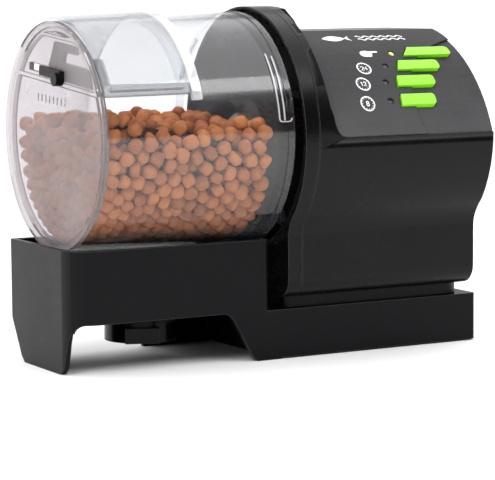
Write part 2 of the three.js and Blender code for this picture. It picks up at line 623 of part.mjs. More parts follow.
function homeCam() {
  const disc = rodX(6.8, LAYER.first[0], LAYER.first[0] + 2.4, 0, 0, 36);
  const dent = rodX(1.2, 0, 30, -6.9, 0, 16);
  return cut(disc, rodX(5.2, 0, 30, 0, 0, 36), dent);
}

function homeSwitch() {
  const body = box(12.4, 18.8, -19, -12, -4, 4);
  const lever = box(14.6, 15.8, -12.1, -7.4, -0.5, 0.5);
  return join(body, lever);
}

// ---------------------------------------------------------------- batteries
function batteries() {
  const { left, right, back, front, low, high, wall } = BAY;
  const hollow = box(left + wall, right - wall, back + wall, front + 1, low + wall, high - wall);
  place(feeder, 'battery_bay', 'black', cut(box(left, right, back, front, low, high), hollow));

  const cell = join(
    rodX(CELL.radius, 1.2, CELL.length, 0, 0, 32),
    rodX(2.75, 0, 2, 0, 0, 20),
  );
  place(feeder, 'battery_cell_1', 'cell', cell.translate([7.7, CELL.inner, CELL.z]));
  const turned = cell.rotate([0, 0, 180]).translate([CELL.length, 0, 0]);
  place(feeder, 'battery_cell_2', 'cell', turned.translate([11.2, CELL.outer, CELL.z]));

  const sheet = 0.4;
  const bridgeX = left + wall + 0.1;
  place(feeder, 'battery_bridge_plate', 'steel',
    box(bridgeX, bridgeX + sheet, back + wall + 1, front - 1, CELL.z - 4.5, CELL.z + 4.5));
  const endX = right - wall - 0.1;
  const terminal = (y) => box(endX - sheet, endX, y - 5, y + 5, CELL.z - 4.5, CELL.z + 4.5);
  place(feeder, 'battery_terminal_negative', 'steel', terminal(CELL.inner));
  place(feeder, 'battery_terminal_positive', 'steel', terminal(CELL.outer));
  const innerSpring = contactSpring(endX - sheet - 0.1, -1);
  const outerSpring = contactSpring(bridgeX + sheet + 0.1, 1);
  place(feeder, 'battery_spring_1', 'steel', innerSpring.translate([0, CELL.inner, CELL.z]));
  place(feeder, 'battery_spring_2', 'steel', outerSpring.translate([0, CELL.outer, CELL.z]));
}

// A conical contact spring: its wide end at x, its narrow end one spring length along the given way.
function contactSpring(x, way) {
  const turns = 2.5;
  const length = 2.6;
  const wire = 0.35;
  const points = Array.from({ length: 31 }, (_, i) => {
    const part = i / 30;
    const angle = part * turns * 2 * Math.PI;
    const radius = 4.2 - 2.4 * part;
    return new THREE.Vector3(
      x + way * (wire + part * length), radius * Math.cos(angle), radius * Math.sin(angle));
  });
  const section = new THREE.Shape().absarc(0, 0, wire, 0, 2 * Math.PI);
  const path = new THREE.CatmullRomCurve3(points);
  return solid(new THREE.ExtrudeGeometry(section, { extrudePath: path, steps: 28, curveSegments: 3 }));
}

function batteryDoor() {
  const face = HOUSING.boxHalf;
  const plate = box(DOOR.left, DOOR.right, face - DOOR.thick, face, DOOR.low, DOOR.high);
  const grooves = [50, 52, 54, 56, 58].map((x) => box(
    x, x + 1, face - 0.5, face + 1, DOOR.low + 4, DOOR.high - 4));
  return cut(plate, ...grooves);
}

// ---------------------------------------------------------------- drum
const drumRadius = (x) => DRUM.leftRadius
  + (DRUM.rightRadius - DRUM.leftRadius) * (x - DRUM.left) / (DRUM.right - DRUM.left);

// A slice of the drum's cone: between two radii measured from its surface, and between two angles
// from the top, positive towards the front.
function drumSlice(x0, x1, inner, outer, from, to) {
  const ring = turnedX([
    [x0, drumRadius(x0) + inner], [x0, drumRadius(x0) + outer], [x1, drumRadius(x1) + outer],
    [x1, drumRadius(x1) + inner], [x0, drumRadius(x0) + inner],
  ]);
  const steps = 16;
  const fan = [[0, 0]];
  for (let i = 0; i <= steps; i += 1) {
    const angle = THREE.MathUtils.degToRad(to + (from - to) * (i / steps));
    fan.push([-60 * Math.sin(angle), 60 * Math.cos(angle)]);
  }
  return ring.intersect(prismX(polygon(fan.reverse()), x0 - 1, x1 + 1));
}

function drumShell() {
  const { left, right, wall } = DRUM;
  const start = left + CAP_FLANGE + 0.1;
  const r = drumRadius;
  const skin = turnedX([
    [BACK_WALL.left, 0], [BACK_WALL.left, r(BACK_WALL.left) - wall], [start, r(start) - wall],
    [start, r(start)], [-6, r(-6) - 0.3], [-6, r(-6) + 0.2], [right, DRUM.rightRadius],
    [right, DRUM.rightRadius - wall], [BACK_WALL.right, r(BACK_WALL.right) - wall], [BACK_WALL.right, 0],
  ]);
  const hub = rodX(9, BACK_WALL.right - 0.5, 0.6, 0, 0, 36);
  const socket = hexagonX(5.5, 6, -1.6);
  const guide = drumSlice(-36.8, -33.8, -0.4, 1.5, -170, 66);
  const filling = drumSlice(FILL.x0, FILL.x1, -3, 3, FILL.from, FILL.to);
  return cut(join(skin, hub, guide), socket, filling);
}

function fillDoor() {
  const { x0, x1, from, to, thick } = FILL_DOOR;
  const plate = drumSlice(x0, x1, 0.25, 0.25 + thick, from, to);
  const lip = drumSlice(x0 + 2, x1 - 2, 0.3, 2.3, to - 4, to - 2.4);
  return join(plate, lip);
}

function endCap() {
  const left = DRUM.left;
  const face = rodX(DRUM.leftRadius, left, left + CAP_FLANGE, 0, 0, SIDES);
  const plugRadius = drumRadius(left + 3) - DRUM.wall - 0.25;
  const plugEnd = left + 3.2;
  const plug = turnedX([
    [left + 1, plugRadius - 1.3], [left + 1, plugRadius], [plugEnd, plugRadius],
    [plugEnd, plugRadius - 1.3], [left + 1, plugRadius - 1.3],
  ]);
  const inside = rodX(plugRadius - 0.5, left, left + 12, 0, 0, SIDES);
  const shelf = box(left + 1, plugEnd, -40, 40, 15.2, 16.4).intersect(inside);
  const outletShelf = box(left + 1, plugEnd, -40, 40, 29, 30.1).intersect(inside);
  const outlet = rodX(plugRadius - 1.3, left - 1, left + 3, 0, 0, SIDES)
    .intersect(box(left - 1, left + 3, -40, 40, 30.1, 40));
  const slot = box(left - 1, left + 3, -8, 17, 17.9, 20.3);
  const marks = Array.from({ length: 8 }, (_, i) => box(
    left - 0.25, left + 0.5, 9.6 - i * 2.7, 9.9 - i * 2.7, 9.6 + i * 0.1, 11.8 + i * 0.1));
  return join(cut(join(face, plug, shelf, outletShelf), outlet, slot), ...marks);
}

function portionGate() {
  const left = DRUM.left + CAP_FLANGE + 0.3;
  return prismX(polygon([
    [7.5, 17], [2.4, 28], [-12.4, 28], [-12.4, 25.6], [-4.6, 25.6], [-3.4, 22.4], [-21.4, 22.4],
    [-24, 17],
  ].reverse()), left, left + 1.3);
}

function portionKnob() {
  const left = DRUM.left;
  const bar = box(left - 1.5, left - 0.3, -7.6, 6.6, 17.7, 20.5);
  const stem = box(left - 1, left + CAP_FLANGE + 0.1, -4.5, 3.5, 18.3, 19.9);
  const knob = rodX(2, left - 2.9, left - 0.3, -6.6, 18, 20);
  return join(bar, stem, knob);
}

// ---------------------------------------------------------------- food
function foodFill() {
  const bed = rodX(31.8, -62.4, -9, 0, 0, 48);
  const above = box(-60, 60, -60, 60, 0, 80).rotate([-6.5, 7, 0]).translate([-33.5, 0, 5.2]);
  return cut(bed, above).translate([0, 0, AXIS_Z]);
}

// ---------------------------------------------------------------- assembly
place(feeder, 'base_shell', 'blackBase', baseShell());
place(feeder, 'drop_spout', 'blackBase', dropSpout());
footPads();
place(feeder, 'support_neck', 'black', neck());
NECK_SCREWS.forEach((x, i) => {
  const fastener = screw(3, 1.4, 2, 6.6).translate([x, 0, DECK_Z - BASE.wall - 2.05]);
  place(feeder, `neck_screw_${i + 1}`, 'steel', fastener);
});
place(feeder, 'front_bezel', 'blackCase', frontBezel());
place(feeder, 'housing_shell', 'blackCase', housingShell());
BEZEL_SCREWS.forEach(([y, z], i) => {
  const fastener = screw(2.3, 1.2, 1.5, 10).rotate([0, 90, 0]);
  const seated = fastener.translate([BEZEL.pocketFloor - 1.55, y, AXIS_Z + z]);
  place(feeder, `case_screw_${i + 1}`, 'steel', seated);
});
batteries();
place(feeder, 'battery_door', 'blackCase', batteryDoor());
place(feeder, 'food_fill', 'food', foodFill());
controls();

driveTrain();
place(drive, 'gear_plate', 'nylon', gearPlate());
place(drive, 'motor', 'steel', motorBody());
place(drive, 'shaft_bush', 'nylon', shaftBush());
place(drive, 'home_switch', 'black', homeSwitch());

place(drum, 'drive_shaft', 'nylon', driveShaft());
place(drive, 'home_cam', 'nylon', homeCam());
place(drum, 'drum_shell', 'clear', drumShell());
place(drum, 'drum_end_cap', 'milky', endCap());
place(drum, 'fill_door', 'clear', fillDoor());
place(drum, 'portion_gate', 'grey', portionGate());
place(drum, 'portion_knob', 'black', portionKnob());

export default feeder;
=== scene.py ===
"""Looks of the automatic fish feeder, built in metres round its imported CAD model."""

import json
import math

import bmesh
import bpy
import numpy as np
from mathutils import Matrix, Vector

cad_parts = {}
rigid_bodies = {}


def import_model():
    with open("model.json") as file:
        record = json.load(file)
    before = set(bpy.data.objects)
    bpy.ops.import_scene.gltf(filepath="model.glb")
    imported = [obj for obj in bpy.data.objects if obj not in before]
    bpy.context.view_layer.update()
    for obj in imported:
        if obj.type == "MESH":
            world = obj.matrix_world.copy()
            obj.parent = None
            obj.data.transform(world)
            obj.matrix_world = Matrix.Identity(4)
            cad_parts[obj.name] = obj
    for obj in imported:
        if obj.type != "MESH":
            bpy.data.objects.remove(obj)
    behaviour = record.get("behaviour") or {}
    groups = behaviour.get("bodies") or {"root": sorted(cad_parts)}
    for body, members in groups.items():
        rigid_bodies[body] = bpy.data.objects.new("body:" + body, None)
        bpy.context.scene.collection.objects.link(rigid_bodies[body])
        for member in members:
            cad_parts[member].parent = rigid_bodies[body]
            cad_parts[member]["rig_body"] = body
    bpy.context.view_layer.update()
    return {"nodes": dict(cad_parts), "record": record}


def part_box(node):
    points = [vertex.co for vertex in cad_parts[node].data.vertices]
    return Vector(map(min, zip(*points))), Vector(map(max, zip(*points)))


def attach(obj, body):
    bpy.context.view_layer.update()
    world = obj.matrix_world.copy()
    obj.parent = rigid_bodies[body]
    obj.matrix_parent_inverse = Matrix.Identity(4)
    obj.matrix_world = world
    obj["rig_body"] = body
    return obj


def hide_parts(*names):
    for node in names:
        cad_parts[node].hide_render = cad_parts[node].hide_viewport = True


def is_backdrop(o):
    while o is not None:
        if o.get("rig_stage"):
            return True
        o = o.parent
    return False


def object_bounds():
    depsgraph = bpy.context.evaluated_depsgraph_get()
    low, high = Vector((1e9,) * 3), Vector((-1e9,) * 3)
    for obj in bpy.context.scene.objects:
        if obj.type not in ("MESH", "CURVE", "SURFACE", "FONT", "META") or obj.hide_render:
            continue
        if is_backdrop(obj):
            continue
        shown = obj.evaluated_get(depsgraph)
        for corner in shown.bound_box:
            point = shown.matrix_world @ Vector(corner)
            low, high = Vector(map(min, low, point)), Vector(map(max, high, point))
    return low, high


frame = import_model()
joints = {j["name"]: j for j in frame["record"]["behaviour"]["joints"]}
MM = 0.001

# ------------------------------------------------------------------ frames of the drum and the panel
AXIS_Z = joints["drum_turn"]["pos_m"][2]
press = Vector(joints["feed_button_press"]["axis"])
slide = Vector(joints["portion_slide"]["axis"])
PANEL_TILT = math.atan2(press.y, -press.z)
DRUM_TILT = math.atan2(slide.z, slide.y)
DRUM = Matrix.Translation((0, 0, AXIS_Z)) @ Matrix.Rotation(DRUM_TILT, 4, "X") @ Matrix.Scale(MM, 4)
PANEL_BACK, PANEL_DROP = 7.6, 17      # from the drum's axis to the centre of the panel's cylinder
PANEL_RADIUS = 48.2
PANEL = (
    Matrix.Translation((0, PANEL_BACK * MM, AXIS_Z - PANEL_DROP * MM))
    @ Matrix.Rotation(PANEL_TILT, 4, "X")
    @ Matrix.Scale(MM, 4)
)
CAP_INSET, COLLAR_GAP = 0.25, 2.75    # from the end cap's face and from the collar to the drum's ends
DRUM_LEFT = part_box("drum_end_cap")[0].x / MM + CAP_INSET
DRUM_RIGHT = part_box("front_bezel")[0].x / MM - COLLAR_GAP
DRUM_SMALL, DRUM_FLARE = 34, 2.2      # the drum's outer radius at its left end, and how much it grows
DRUM_WALL = 1.75
DEGREE = 0.6109                       # one degree round the drum, in millimetres

# the fill door, in millimetres: x of its guide and of its lug's right end, and heights over the drum's axis
GUIDE_X, GUIDE_HALF, GUIDE_PROUD = -35.3, 1.6, 0.2
# painted shade: the door is painted dark grey below DOOR_LOW, and on its lug left of LUG_RIGHT and below
# LUG_TOP
DOOR_LOW, LUG_RIGHT, LUG_TOP = 16.4, -61.6, 23.5
COLLAR_POCKET = 37.1                  # the collar is dull inside this radius
# painted shade: between these two heights the panel's charcoal is painted darker towards the top and lighter
# towards its lower edge
PAINTED_SHADE_LOW, PAINTED_SHADE_HIGH = 0.068, 0.099  # heights in metres between which the panel darkens

CAMERA_PLACE = (-0.341471, -0.60909, 0.113285)
CAMERA_YAW, CAMERA_PITCH, CAMERA_ROLL = 0.511, 0.113, -0.007
CAMERA_LENS, CAMERA_SENSOR = 164.7, 36
CEILING = (0.49, 0.62, 2.0)           # the directions' z where it starts and is full, and its strength


def drum_radius(x):
    """The drum's outer radius in millimetres at x."""
    return DRUM_SMALL + DRUM_FLARE * (x - DRUM_LEFT) / (DRUM_RIGHT - DRUM_LEFT)


def on_drum(x, angle, proud):
    """A point in the drum's frame. The angle is from the top, in degrees, positive towards the front."""
    a = math.radians(angle)
    r = drum_radius(x) + proud
    return (x, -r * math.sin(a), r * math.cos(a))


def on_panel(x, v, proud):
    """A point in the panel's frame, just proud of its cylinder."""
    return (x, v, math.sqrt(PANEL_RADIUS**2 - v**2) + proud)


# ------------------------------------------------------------------ materials
class Nodes:
    """One node material with short names for the nodes that the finishes share."""

    def __init__(self, name):
        self.material = bpy.data.materials.new(name)
        self.material.use_nodes = True
        self.tree = self.material.node_tree
        self.tree.nodes.clear()
        self.place = self.add("ShaderNodeTexCoord").outputs["Object"]

    def add(self, kind, inputs=None, **settings):
        node = self.tree.nodes.new(kind)
        for key, value in settings.items():
            setattr(node, key, value)
        for key, value in (inputs or {}).items():
            self.set(node.inputs[key], value)
        return node

    def set(self, socket, value):
        if isinstance(value, bpy.types.NodeSocket):
            self.tree.links.new(value, socket)
        else:
            socket.default_value = value

    def noise(self, scale, detail=3.0, rough=0.55, stretch=None):
        where = self.place
        if stretch:
            where = self.add(
                "ShaderNodeMapping", {"Vector": where, "Scale": stretch}
            ).outputs[0]
        return self.add(
            "ShaderNodeTexNoise",
            {"Vector": where, "Scale": scale, "Detail": detail, "Roughness": rough},
        ).outputs["Fac"]

    def span(self, value, low, high, start=0.3, end=0.7):
        return self.add(
            "ShaderNodeMapRange",
            {"Value": value, "From Min": start, "From Max": end, "To Min": low, "To Max": high},
        ).outputs["Result"]

    def mix(self, amount, first, second):
        node = self.add("ShaderNodeMix", data_type="RGBA")
        self.set(node.inputs["Factor"], amount)
        self.set(node.inputs["A"], first)
        self.set(node.inputs["B"], second)
        return node.outputs["Result"]

    def math(self, kind, a, b=0.0):
        return self.add("ShaderNodeMath", {0: a, 1: b}, operation=kind).outputs[0]

    def shader(self, kind, **inputs):
        names = {k.replace("_", " "): v for k, v in inputs.items()}
        return self.add(kind, names).outputs[0]

    def blend(self, amount, first, second):
        return self.add("ShaderNodeMixShader", {0: amount, 1: first, 2: second}).outputs[0]

    def bump(self, height, strength, distance, normal=None):
        """A bump of the given height in millimetres."""
        inputs = {"Height": height, "Strength": strength, "Distance": distance * MM}
        if normal:
            inputs["Normal"] = normal
        return self.add("ShaderNodeBump", inputs).outputs[0]

    def axes(self):
        at = self.add("ShaderNodeSeparateXYZ", {0: self.place}).outputs
        return at["X"], at["Y"], at["Z"]

    def from_axis(self, y, z):
        """The distance from the drum's axis, in metres."""
        up = self.math("SUBTRACT", z, AXIS_Z)
        squares = self.math("ADD", self.math("POWER", y, 2.0), self.math("POWER", up, 2.0))
        return self.math("SQRT", squares)

    def finish(self, shader):
        out = self.add("ShaderNodeOutputMaterial")
        self.tree.links.new(shader, out.inputs["Surface"])
        return self.material


def tone(colour, factor):
    return (*[min(1.0, c * factor) for c in colour[:3]], 1.0)


def rgb(text):
    """A hex colour as linear RGBA."""
    parts = [int(text[i : i + 2], 16) / 255 for i in (0, 2, 4)]
    return (*[c / 12.92 if c <= 0.04045 else ((c + 0.055) / 1.055) ** 2.4 for c in parts], 1.0)


def moulded(
    name, colour, rough, grain=2600, depth=0.012, rounding=0.35, edge=0.35, vary=0.12, metal=0.0,
    worn=None, specular=0.5, dull_within=None,
):
    """Moulded plastic or metal: cloudy tone, fine grain, uneven gloss, and rounded edges, a little worn.

    Inside dull_within, a radius round the drum's axis in millimetres, it loses its gloss.
    """
    n = Nodes(name)
    cloud = n.noise(38, 4)
    fine = n.noise(grain, 2, 0.6)
    scuff = n.noise(420, 5, 0.7, (1, 0.25, 1))
    soft = n.add("ShaderNodeBevel", {"Radius": rounding * MM}, samples=6).outputs[0]
    flat = n.add("ShaderNodeNewGeometry").outputs["Normal"]
    turn = n.add("ShaderNodeVectorMath", {0: soft, 1: flat}, operation="DOT_PRODUCT").outputs["Value"]
    rim = n.span(turn, 1.0, 0.0, 0.75, 0.97)
    worn_part = n.math("MULTIPLY", n.math("MULTIPLY", rim, n.span(scuff, 0.55, 1.0)), edge)
    body = n.mix(n.span(cloud, 0.0, 1.0), tone(colour, 1 - vary), tone(colour, 1 + vary))
    body = n.mix(n.span(fine, 0.0, 0.5, 0.35, 0.75), body, tone(colour, 1 + 1.4 * vary))
    worn_colour = worn or (*[0.5 * c + 0.5 * 0.35 for c in colour[:3]], 1.0)
    body = n.mix(worn_part, body, worn_colour)
    gloss = n.math("ADD", n.span(cloud, rough - 0.05, rough + 0.04), n.span(scuff, -0.02, 0.05))
    bump = n.bump(fine, 0.5, depth * 4, soft)
    if dull_within:
        far = n.from_axis(*n.axes()[1:])
        specular = n.span(far, 0.01, specular, (dull_within - 0.2) * MM, dull_within * MM)
    shader = n.shader(
        "ShaderNodeBsdfPrincipled", Base_Color=body, Roughness=gloss, Metallic=metal, Normal=bump,
        Specular_IOR_Level=specular,
    )
    return n.finish(shader)


def panel_plastic(name):
    """Satin panel: fine spark-eroded grain, its charcoal painted darker towards the top as shade and lighter
    towards the lower edge as a highlight.
    """
    n = Nodes(name)
    # painted shade and highlight: the charcoal goes from dark at the top to lighter at the lower edge
    painted_shade_ramp = n.span(n.axes()[2], 1.0, 0.0, PAINTED_SHADE_LOW, PAINTED_SHADE_HIGH)
    cloud = n.noise(45, 4)
    fine = n.noise(2800, 3, 0.7)
    soft = n.add("ShaderNodeBevel", {"Radius": 0.5 * MM}, samples=6).outputs[0]
    base = n.mix(n.math("POWER", painted_shade_ramp, 1.6), rgb("1e1e20"), rgb("4c4c4d"))
    base = n.mix(n.span(cloud, 0.0, 0.4), base, rgb("2e2e30"))
    base = n.mix(n.span(fine, 0.0, 0.35, 0.4, 0.75), base, rgb("545456"))
    shader = n.shader(
        "ShaderNodeBsdfPrincipled", Base_Color=base, Roughness=n.span(cloud, 0.4, 0.5),
        Normal=n.bump(fine, 0.5, 0.05, soft), Specular_IOR_Level=0.12,
    )
    return n.finish(shader)


class Spot:
    """Where a point of the drum lies: its X and Z, whether it is in front, and how proud of the cone."""

    def __init__(self, n):
        self.x, y, self.z = n.axes()
        slope = drum_radius(0) - drum_radius(-1)
        cone = n.math("ADD", n.math("MULTIPLY", self.x, slope), drum_radius(0) * MM)
        self.proud = n.math("SUBTRACT", n.from_axis(y, self.z), cone)
        self.front = n.math("LESS_THAN", y, 0.0)


def clear_wall(
    name, tint, haze, rim_haze, rough=0.06, body=(0.36, 0.365, 0.39, 1.0), thickness_and_shade=None, base=0.06
):
    """Thin clear plastic, milkier towards its edges, with faint flow marks and scratches and a dull inside.

    thickness_and_shade(n, spot) gives where the plastic stands thicker than a wall, its colour and its
    strength; on the fill door that colour is painted shade.
    """
    n = Nodes(name)
    spot = Spot(n)
    flow = n.noise(55, 4, 0.6, (1, 0.35, 0.35))
    hair = n.noise(900, 6, 0.75, (0.06, 1, 1))
    facing = n.add("ShaderNodeLayerWeight", {"Blend": 0.5}).outputs["Facing"]
    edge = n.math("POWER", facing, 4.0)
    amount = n.math("ADD", n.math("MULTIPLY", edge, rim_haze), n.span(flow, haze * 0.8, haze * 1.25))
    if thickness_and_shade:
        mask, colour, strength = thickness_and_shade(n, spot)
        amount = n.math("MAXIMUM", amount, n.math("MULTIPLY", mask, strength))
        body = n.mix(mask, body, colour)
    bump = n.bump(hair, 0.12, 0.02)
    through = n.shader("ShaderNodeBsdfTransparent", Color=tint)
    wall_gloss = n.span(hair, rough, rough + 0.06)
    wall = n.shader("ShaderNodeBsdfPrincipled", Base_Color=body, Roughness=wall_gloss, Normal=bump)
    shine_gloss = n.span(hair, rough, rough + 0.05)
    shine = n.shader("ShaderNodeBsdfGlossy", Color=(1, 1, 1, 1), Roughness=shine_gloss, Normal=bump)
    schlick = n.math("ADD", n.math("MULTIPLY", n.math("POWER", facing, 5.0), 0.4), base)
    outside = n.span(spot.proud, 0.12, 1.0, -0.9 * MM, -0.7 * MM)
    return n.finish(n.blend(n.math("MULTIPLY", schlick, outside), n.blend(amount, through, wall), shine))


def guide_rib(n, spot):
    """The door's guide, where the drum shell stands proud of its cone."""
    along = n.math("COMPARE", spot.x, GUIDE_X * MM)
    along.node.inputs[2].default_value = GUIDE_HALF * MM
    proud = n.math("GREATER_THAN", spot.proud, GUIDE_PROUD * MM)
    mask = n.math("MULTIPLY", proud, n.math("MULTIPLY", along, spot.front))
    return mask, (0.8, 0.81, 0.84, 1), 0.5


def door_edge_painted_shade(n, spot):
    """Painted shade: the fill door's thicker lower edge and the lug at its left end, painted dark grey for
    the shade they show.
    """
    low = n.math("LESS_THAN", spot.z, AXIS_Z + DOOR_LOW * MM)
    left = n.math("LESS_THAN", spot.x, LUG_RIGHT * MM)
    lug = n.math("MULTIPLY", left, n.math("LESS_THAN", spot.z, AXIS_Z + LUG_TOP * MM))
    mask = n.math("MULTIPLY", n.math("MAXIMUM", low, lug), spot.front)
    # the dark grey is painted shade
    return mask, (0.13, 0.135, 0.15, 1), 0.55


def milky(name):
    """Frosted cap: blurs what lies behind it, with a soft diffuse skin."""
    n = Nodes(name)
    cloud = n.noise(70, 4)
    fine = n.noise(1800, 3, 0.7)
    base = n.mix(n.span(cloud, 0, 1), rgb("b0aaa9"), rgb("bdb7b7"))
    frost = n.shader(
        "ShaderNodeBsdfPrincipled", Base_Color=base, Roughness=n.span(fine, 0.26, 0.34),
        Normal=n.bump(fine, 0.15, 0.02),
    )
    blur = n.shader("ShaderNodeBsdfRefraction", Color=(0.86, 0.84, 0.86, 1), Roughness=0.1, IOR=1.15)
    open_way = n.shader("ShaderNodeBsdfTransparent", Color=(0.9, 0.89, 0.92, 1))
    lamp_ray = n.add("ShaderNodeLightPath").outputs["Is Shadow Ray"]
    return n.finish(n.blend(n.span(cloud, 0.22, 0.29), n.blend(lamp_ray, blur, open_way), frost))


def pellet_food(name):
    """Baked pellets: orange-brown, each its own shade, rough and pitted."""
    n = Nodes(name)
    shade = n.add("ShaderNodeAttribute", attribute_name="shade").outputs["Fac"]
    crumb = n.noise(1500, 5, 0.7)
    patch = n.noise(420, 3)
    base = n.mix(shade, rgb("964a1c"), rgb("c9793c"))
    base = n.mix(n.span(crumb, 0.0, 0.55, 0.35, 0.75), base, rgb("6a300f"))
    base = n.mix(n.span(patch, 0.0, 0.35), base, rgb("d08c50"))
    shader = n.shader(
        "ShaderNodeBsdfPrincipled", Base_Color=base, Roughness=n.span(patch, 0.62, 0.85),
        Normal=n.bump(crumb, 0.6, 0.12),
    )
    return n.finish(shader)


def glowing(name, colour, strength):
    """A lamp lens that is lit."""
    n = Nodes(name)
    speck = n.noise(900, 2)
    base = n.mix(n.span(speck, 0, 1), tone(colour, 0.9), colour)
    shader = n.shader(
        "ShaderNodeBsdfPrincipled", Base_Color=base, Roughness=n.span(speck, 0.15, 0.3),
        Emission_Color=colour, Emission_Strength=strength,
    )
    return n.finish(shader)


FINISH = {
    "base_plastic": moulded("base_plastic", rgb("08080b"), 0.33, 2200, 0.004, 0.5, 0.5, specular=0.13),
    "neck_plastic": moulded("neck_plastic", rgb("070708"), 0.34, 2200, 0.010, 0.5, 0.3, specular=0.13),
    "spout_plastic": moulded("spout_plastic", rgb("060607"), 0.22, 2600, 0.006, 0.4, 0.3, specular=0.13),
    "rubber": moulded("rubber", rgb("161616"), 0.8, 1500, 0.02, 0.4, 0.1),
    "case_plastic": moulded("case_plastic", rgb("060607"), 0.27, 2600, 0.002, 0.5, 0.4, specular=0.17),
    "bezel_plastic": moulded(
        "bezel_plastic", rgb("060607"), 0.27, 2600, 0.002, 0.5, 0.4, specular=0.17,
        dull_within=COLLAR_POCKET,
    ),
    "panel_plastic": panel_plastic("panel_plastic"),
    "button_plastic": moulded(
        "button_plastic", rgb("86e410"), 0.32, 1800, 0.006, 0.45, 0.25, 0.06, worn=rgb("c4ff70")
    ),
    "steel": moulded("steel", rgb("a9adb2"), 0.28, 1400, 0.006, 0.2, 0.3, 0.08, 1.0),
    "brass": moulded("brass", rgb("c9a24a"), 0.28, 1400, 0.006, 0.2, 0.3, 0.08, 1.0),
    "nylon": moulded("nylon", rgb("e2dfd2"), 0.42, 1600, 0.008, 0.2, 0.2, 0.05),
    "cell_wrap": moulded("cell_wrap", rgb("b5762c"), 0.3, 1600, 0.004, 0.3, 0.2, 0.06, 0.4),
    "black_plastic": moulded("black_plastic", rgb("060607"), 0.3, 2200, 0.008, 0.3, 0.3, specular=0.13),
    "grey_plastic": moulded("grey_plastic", rgb("6e6e74"), 0.45, 2200, 0.008, 0.3, 0.3),
    "circuit_board": moulded("circuit_board", rgb("1d6a38"), 0.4, 900, 0.006, 0.1, 0.2),
    "lamp_on": glowing("lamp_on", rgb("d8f060"), 1.2),
    "lamp_off": moulded("lamp_off", rgb("17180f"), 0.18, 1500, 0.004, 0.15, 0.2),
    "clear_plastic": clear_wall("clear_plastic", (0.95, 0.955, 0.965, 1), 0.012, 0.6, thickness_and_shade=guide_rib),
    "clear_door": clear_wall("clear_door", (0.87, 0.875, 0.885, 1), 0.06, 0.5, thickness_and_shade=door_edge_painted_shade, base=0.015),
    "clear_rib": clear_wall("clear_rib", (0.9, 0.9, 0.92, 1), 0.38, 0.30, 0.12, (0.9, 0.9, 0.92, 1)),
    "dark_steel": moulded("dark_steel", rgb("26262a"), 0.35, 1400, 0.006, 0.2, 0.3, 0.08, 1.0),
    "milky_plastic": milky("milky_plastic"),
    "food_pellets": pellet_food("food_pellets"),
    # painted shade: dark brown for the core that stands in for the shade between the pellets
    "food_dark": moulded("food_dark", rgb("2c170b"), 0.8, 900, 0.05, 0.1, 0.0, 0.3),
}
INK = moulded("panel_ink", rgb("e9e9ea"), 0.5, 2400, 0.004, 0.02, 0.0, 0.04)
NODE_SLOT = {part["node"]: part["material_slot"] for part in frame["record"]["subparts"]}


# ------------------------------------------------------------------ mesh helpers
def piece(name, mesh, body, finish, replaces=()):
    """A finished object from a mesh in world metres."""
    obj = bpy.data.objects.new(name, mesh)
    bpy.context.scene.collection.objects.link(obj)
    material = FINISH[finish] if isinstance(finish, str) else finish
    mesh.materials.clear()
    mesh.materials.append(material)
    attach(obj, body)
    if replaces:
        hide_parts(*replaces)
    return obj


def smooth(mesh, angle=32):
    """Smooth shading, with edges over the angle kept sharp."""
    mesh.polygons.foreach_set("use_smooth", [True] * len(mesh.polygons))
    mesh.set_sharp_from_angle(angle=math.radians(angle))
    return mesh


def welded(node):
    """A node's shape as a new mesh with shared vertices and smooth shading over shallow edges."""
    bm = bmesh.new()
    bm.from_mesh(frame["nodes"][node].data)
    bmesh.ops.remove_doubles(bm, verts=bm.verts, dist=2e-5)
    bmesh.ops.dissolve_limit(bm, angle_limit=math.radians(1.2), verts=bm.verts, edges=bm.edges)
    mesh = bpy.data.meshes.new(node + "_skin")
    bm.to_mesh(mesh)
    bm.free()
    return smooth(mesh)


def reskin(node, finish):
    """A smooth skin that takes the place of a node."""
    body = frame["nodes"][node]["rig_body"]
    obj = piece(node + "_skin", welded(node), body, finish, (node,))
    obj.modifiers.new("flat_faces_first", "WEIGHTED_NORMAL").keep_sharp = True


def mesh_from(name, verts, faces, matrix, angle=32):
    """A mesh from millimetre points in a drum or panel frame."""
    mesh = bpy.data.meshes.new(name)
    mesh.from_pydata([matrix @ Vector(v) for v in verts], [], faces)
    bm = bmesh.new()
    bm.from_mesh(mesh)
    bmesh.ops.recalc_face_normals(bm, faces=bm.faces)
    bm.to_mesh(mesh)
    bm.free()
    return smooth(mesh, angle)


def ribbon(points, width, closed=False):
    """A flat strip of the given width along 2-D points: its two sides, as a list of pairs."""
    pts = [Vector(p) for p in points]
    count = len(pts)
    pairs = []
    for i, p in enumerate(pts):
        before = pts[i - 1] if i or closed else p
        after = pts[(i + 1) % count] if i + 1 < count or closed else p
        along = (after - before).normalized()
        side = Vector((-along.y, along.x)) * width / 2
        pairs.append((p + side, p - side))
    return pairs


def raised_strip(points, width, height, lift, closed=False):
    """Vertices and faces of a strip with a top and two sides. lift(x, y, height) gives its 3-D points."""
    pairs = ribbon(points, width, closed)
    verts, faces = [], []
    for a, b in pairs:
        verts += [lift(*a, 0), lift(*a, height), lift(*b, height), lift(*b, 0)]
    count = len(pairs)
    for i in range(count if closed else count - 1):
        j = (i + 1) % count
        for k in range(3):
            faces.append((4 * i + k, 4 * i + k + 1, 4 * j + k + 1, 4 * j + k))
        faces.append((4 * i + 3, 4 * i, 4 * j, 4 * j + 3))
    if not closed:
        faces += [(0, 1, 2, 3), tuple(4 * (count - 1) + k for k in (3, 2, 1, 0))]
    return verts, faces


def merged(parts):
    """Several (verts, faces) as one."""
    verts, faces = [], []
    for v, f in parts:
        faces += [tuple(i + len(verts) for i in face) for face in f]
        verts += v
    return verts, faces


